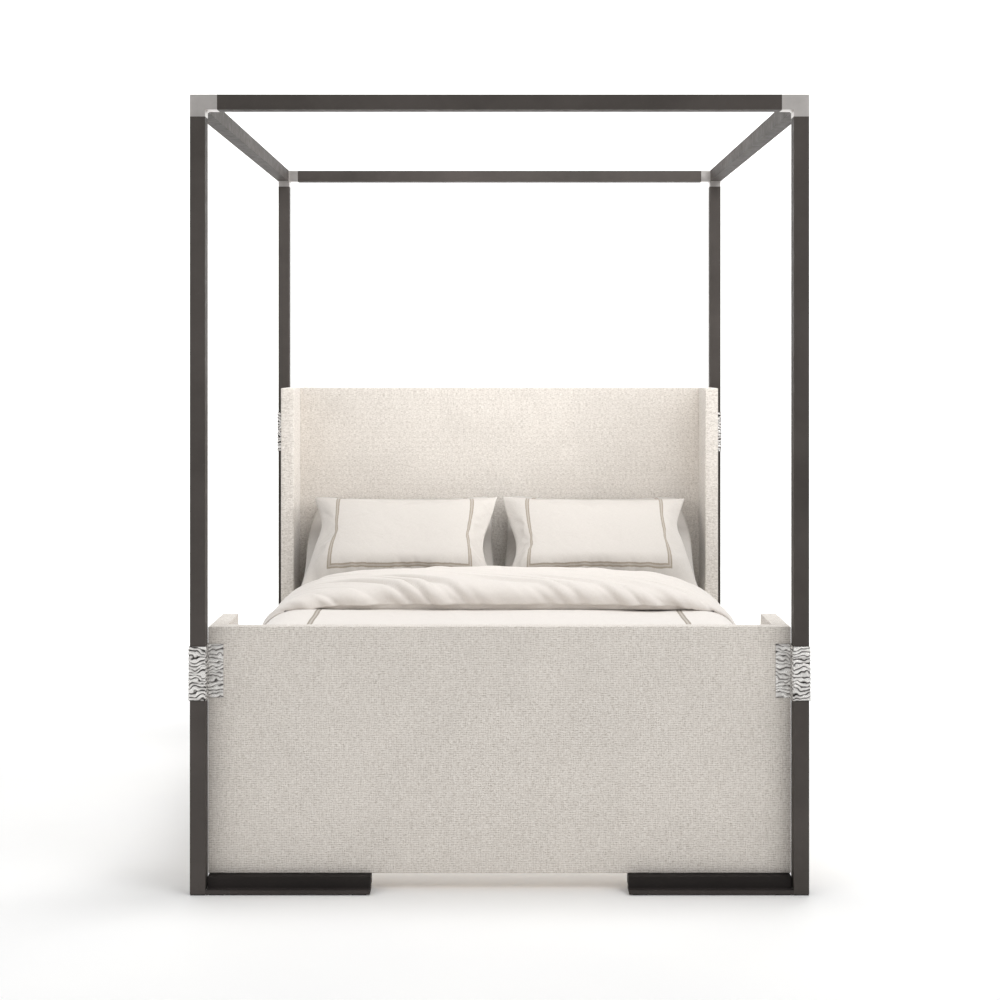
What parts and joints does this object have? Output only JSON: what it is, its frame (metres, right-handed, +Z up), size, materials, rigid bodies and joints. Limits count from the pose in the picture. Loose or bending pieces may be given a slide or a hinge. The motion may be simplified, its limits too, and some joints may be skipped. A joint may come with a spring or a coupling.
{
  "type": "four poster canopy bed",
  "caption": "Queen canopy bed: slim bronze metal posts and beams with silver corners, linen-covered winged headboard and footboard, and dressed bedding.",
  "frame": {"origin": "on the floor, under the middle of the bed", "axes": "+X across the bed to the right as seen from the foot end, +Y along the bed from footboard to headboard, +Z up"},
  "size_m": [1.714, 2.252, 2.212],
  "materials": {
    "bronze": "satin",
    "satin_silver": "satin",
    "bark_silver": "satin",
    "zinc_steel": "satin",
    "black_plastic": "matte",
    "pad_rubber": "matte",
    "linen": "matte",
    "plywood": "matte",
    "timber": "matte",
    "webbing": "matte",
    "ticking": "matte",
    "duvet_cotton": "matte",
    "pillow_cotton": "matte"
  },
  "bodies": {
    "bed_frame": {"post_front_left": "bronze", "post_front_right": "bronze", "post_rear_left": "bronze", "post_rear_right": "bronze", "beam_front": "bronze", "beam_rear": "bronze", "beam_left": "bronze", "beam_right": "bronze", "foot_front_left": "bronze", "foot_front_right": "bronze", "foot_rear_left": "bronze", "foot_rear_right": "bronze", "centre_beam": "bronze", "centre_leg_front": "bronze", "centre_leg_rear": "bronze", "corner_cap_front_left": "satin_silver", "corner_cap_front_right": "satin_silver", "corner_cap_rear_left": "satin_silver", "corner_cap_rear_right": "satin_silver", "bracket_front_left": "bark_silver", "bracket_front_right": "bark_silver", "bracket_rear_left": "bark_silver", "bracket_rear_right": "bark_silver", "corner_cap_screws": "zinc_steel", "bracket_bolts": "zinc_steel", "bracket_barrel_nuts": "zinc_steel", "sleeve_screws": "zinc_steel", "foot_screws": "zinc_steel", "rail_hook_plates": "zinc_steel", "rail_slot_plates": "zinc_steel", "beam_hangers": "zinc_steel", "post_plugs": "black_plastic", "foot_pads": "pad_rubber", "footboard_panel_cover": "linen", "footboard_wing_cover_left": "linen", "footboard_wing_cover_right": "linen", "headboard_panel_cover": "linen", "headboard_wing_cover_left": "linen", "headboard_wing_cover_right": "linen", "side_rail_cover_left": "linen", "side_rail_cover_right": "linen", "footboard_core": "plywood", "headboard_core": "plywood", "side_rail_left": "timber", "side_rail_right": "timber", "cleat_left": "timber", "cleat_right": "timber", "slats": "timber", "slat_straps": "webbing"},
    "mattress": {"mattress": "ticking"},
    "duvet": {"duvet": "duvet_cotton"},
    "back_pillow_left": {"back_pillow_left": "pillow_cotton"},
    "back_pillow_right": {"back_pillow_right": "pillow_cotton"},
    "sham_left": {"sham_left": "pillow_cotton"},
    "sham_right": {"sham_right": "pillow_cotton"},
    "glide_front": {"glide_front": "black_plastic"},
    "glide_rear": {"glide_rear": "black_plastic"}
  },
  "joints": [
    {"name": "mattress_lift", "type": "slide", "parent": "bed_frame", "child": "mattress", "axis": [0, 0, 1], "range_m": [0, 0.4]},
    {"name": "duvet_lift", "type": "slide", "parent": "mattress", "child": "duvet", "axis": [0, 0, 1], "range_m": [0, 0.3]},
    {"name": "back_pillow_left_lift", "type": "slide", "parent": "mattress", "child": "back_pillow_left", "axis": [0, 0, 1], "range_m": [0, 0.4]},
    {"name": "back_pillow_right_lift", "type": "slide", "parent": "mattress", "child": "back_pillow_right", "axis": [0, 0, 1], "range_m": [0, 0.4]},
    {"name": "sham_left_lift", "type": "slide", "parent": "back_pillow_left", "child": "sham_left", "axis": [0, 0, 1], "range_m": [0, 0.3]},
    {"name": "sham_right_lift", "type": "slide", "parent": "back_pillow_right", "child": "sham_right", "axis": [0, 0, 1], "range_m": [0, 0.3]},
    {"name": "glide_front_adjust", "type": "slide", "parent": "bed_frame", "child": "glide_front", "axis": [0, 0, 1], "range_m": [0, 0.012]},
    {"name": "glide_rear_adjust", "type": "slide", "parent": "bed_frame", "child": "glide_rear", "axis": [0, 0, 1], "range_m": [0, 0.012]}
  ]
}
